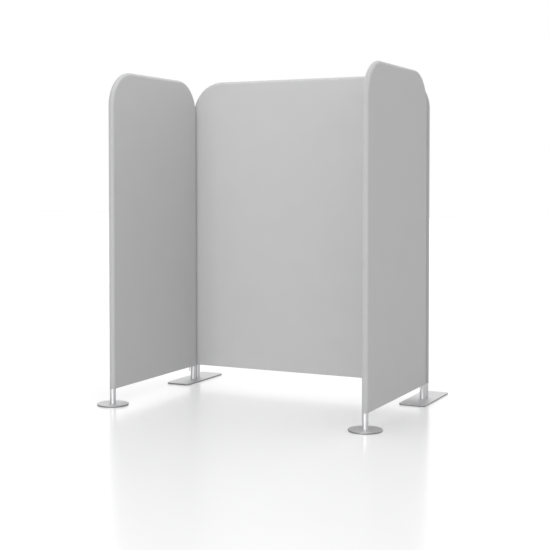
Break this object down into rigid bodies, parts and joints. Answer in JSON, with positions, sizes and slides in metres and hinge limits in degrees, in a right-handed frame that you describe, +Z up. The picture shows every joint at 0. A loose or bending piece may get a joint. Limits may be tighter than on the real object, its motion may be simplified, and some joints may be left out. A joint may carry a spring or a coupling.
{
  "type": "study carrel",
  "caption": "Free-standing study carrel of three stretched-cloth screens on tube frames, with swivelling side screens and flat steel feet.",
  "frame": {"origin": "centre of the footprint, on the floor under the base pads", "axes": "+Z up, +Y towards the rear screen, +X towards the right side screen for a person who faces the rear screen"},
  "size_m": [1.6368, 1.1918, 1.808],
  "materials": {
    "stretch_cloth": "taut fine knit, matt",
    "zip_tape": "woven nylon tape and coil",
    "zip_metal": "plated die-cast",
    "rubber_pad": "matt",
    "base_steel": "satin plated",
    "screw_steel": "zinc plated",
    "spigot_aluminium": "turned",
    "spring_steel": "tempered",
    "button_steel": "zinc plated",
    "rivet_aluminium": "mill",
    "joiner_aluminium": "mill",
    "frame_tube": "polished and clear anodised"
  },
  "bodies": {
    "rear_screen": {"left_twin_plate": "base_steel", "right_twin_plate": "base_steel", "twin_plate_pads": "rubber_pad", "twin_plate_spigots": "spigot_aluminium", "twin_plate_screws": "screw_steel", "rear_left_lower_upright": "frame_tube", "rear_right_lower_upright": "frame_tube", "rear_left_upper_bend": "frame_tube", "rear_right_upper_bend": "frame_tube", "rear_bottom_rail": "frame_tube", "rear_tube_joiners": "joiner_aluminium", "rear_joiner_rivets": "rivet_aluminium", "rear_left_leaf_spring": "spring_steel", "rear_right_leaf_spring": "spring_steel", "rear_cover": "stretch_cloth", "rear_zip_chain": "zip_tape"},
    "left_wing": {"left_disc_foot": "base_steel", "left_disc_pad": "rubber_pad", "left_disc_spigot": "spigot_aluminium", "left_disc_screw": "screw_steel", "left_front_lower_upright": "frame_tube", "left_rear_lower_upright": "frame_tube", "left_front_upper_bend": "frame_tube", "left_rear_upper_bend": "frame_tube", "left_bottom_rail": "frame_tube", "left_tube_joiners": "joiner_aluminium", "left_joiner_rivets": "rivet_aluminium", "left_front_leaf_spring": "spring_steel", "left_rear_leaf_spring": "spring_steel", "left_cover": "stretch_cloth", "left_zip_chain": "zip_tape"},
    "right_wing": {"right_disc_foot": "base_steel", "right_disc_pad": "rubber_pad", "right_disc_spigot": "spigot_aluminium", "right_disc_screw": "screw_steel", "right_front_lower_upright": "frame_tube", "right_rear_lower_upright": "frame_tube", "right_front_upper_bend": "frame_tube", "right_rear_upper_bend": "frame_tube", "right_bottom_rail": "frame_tube", "right_tube_joiners": "joiner_aluminium", "right_joiner_rivets": "rivet_aluminium", "right_front_leaf_spring": "spring_steel", "right_rear_leaf_spring": "spring_steel", "right_cover": "stretch_cloth", "right_zip_chain": "zip_tape"},
    "rear_left_snap_button": {"rear_left_snap_button": "button_steel"},
    "rear_right_snap_button": {"rear_right_snap_button": "button_steel"},
    "rear_zip_slider": {"rear_zip_slider": "zip_metal"},
    "rear_zip_puller": {"rear_zip_puller": "zip_metal"},
    "left_front_snap_button": {"left_front_snap_button": "button_steel"},
    "left_rear_snap_button": {"left_rear_snap_button": "button_steel"},
    "left_zip_slider": {"left_zip_slider": "zip_metal"},
    "left_zip_puller": {"left_zip_puller": "zip_metal"},
    "right_front_snap_button": {"right_front_snap_button": "button_steel"},
    "right_rear_snap_button": {"right_rear_snap_button": "button_steel"},
    "right_zip_slider": {"right_zip_slider": "zip_metal"},
    "right_zip_puller": {"right_zip_puller": "zip_metal"}
  },
  "joints": [
    {"name": "left_wing_swivel", "type": "hinge", "parent": "rear_screen", "child": "left_wing", "pos_m": [-0.7334, 0.3559, 0], "axis": [0, 0, 1], "range_deg": [-120, 90]},
    {"name": "right_wing_swivel", "type": "hinge", "parent": "rear_screen", "child": "right_wing", "pos_m": [0.7334, 0.3559, 0], "axis": [0, 0, 1], "range_deg": [-90, 120]},
    {"name": "rear_zip_slide", "type": "slide", "parent": "rear_screen", "child": "rear_zip_slider", "axis": [-1, 0, 0], "range_m": [0, 1.3748]},
    {"name": "rear_zip_puller_swing", "type": "hinge", "parent": "rear_zip_slider", "child": "rear_zip_puller", "pos_m": [0.6874, 0.4059, 0.08255], "axis": [0, 1, 0], "range_deg": [-90, 90]},
    {"name": "rear_left_button_press", "type": "slide", "parent": "rear_screen", "child": "rear_left_snap_button", "axis": [1, 0, 0], "range_m": [-0.0042, 0], "stiffness_N_per_m": 1500, "deforming": ["rear_left_leaf_spring"]},
    {"name": "rear_right_button_press", "type": "slide", "parent": "rear_screen", "child": "rear_right_snap_button", "axis": [-1, 0, 0], "range_m": [-0.0042, 0], "stiffness_N_per_m": 1500, "deforming": ["rear_right_leaf_spring"]},
    {"name": "left_zip_slide", "type": "slide", "parent": "left_wing", "child": "left_zip_slider", "axis": [0, -1, 0], "range_m": [0, 0.7748]},
    {"name": "left_zip_puller_swing", "type": "hinge", "parent": "left_zip_slider", "child": "left_zip_puller", "pos_m": [-0.7334, 0.3099, 0.08255], "axis": [1, 0, 0], "range_deg": [-90, 90]},
    {"name": "left_front_button_press", "type": "slide", "parent": "left_wing", "child": "left_front_snap_button", "axis": [0, 1, 0], "range_m": [-0.0042, 0], "stiffness_N_per_m": 1500, "deforming": ["left_front_leaf_spring"]},
    {"name": "left_rear_button_press", "type": "slide", "parent": "left_wing", "child": "left_rear_snap_button", "axis": [0, -1, 0], "range_m": [-0.0042, 0], "stiffness_N_per_m": 1500, "deforming": ["left_rear_leaf_spring"]},
    {"name": "right_zip_slide", "type": "slide", "parent": "right_wing", "child": "right_zip_slider", "axis": [0, -1, 0], "range_m": [0, 0.7748]},
    {"name": "right_zip_puller_swing", "type": "hinge", "parent": "right_zip_slider", "child": "right_zip_puller", "pos_m": [0.7334, 0.3099, 0.08255], "axis": [1, 0, 0], "range_deg": [-90, 90]},
    {"name": "right_front_button_press", "type": "slide", "parent": "right_wing", "child": "right_front_snap_button", "axis": [0, 1, 0], "range_m": [-0.0042, 0], "stiffness_N_per_m": 1500, "deforming": ["right_front_leaf_spring"]},
    {"name": "right_rear_button_press", "type": "slide", "parent": "right_wing", "child": "right_rear_snap_button", "axis": [0, -1, 0], "range_m": [-0.0042, 0], "stiffness_N_per_m": 1500, "deforming": ["right_rear_leaf_spring"]}
  ]
}
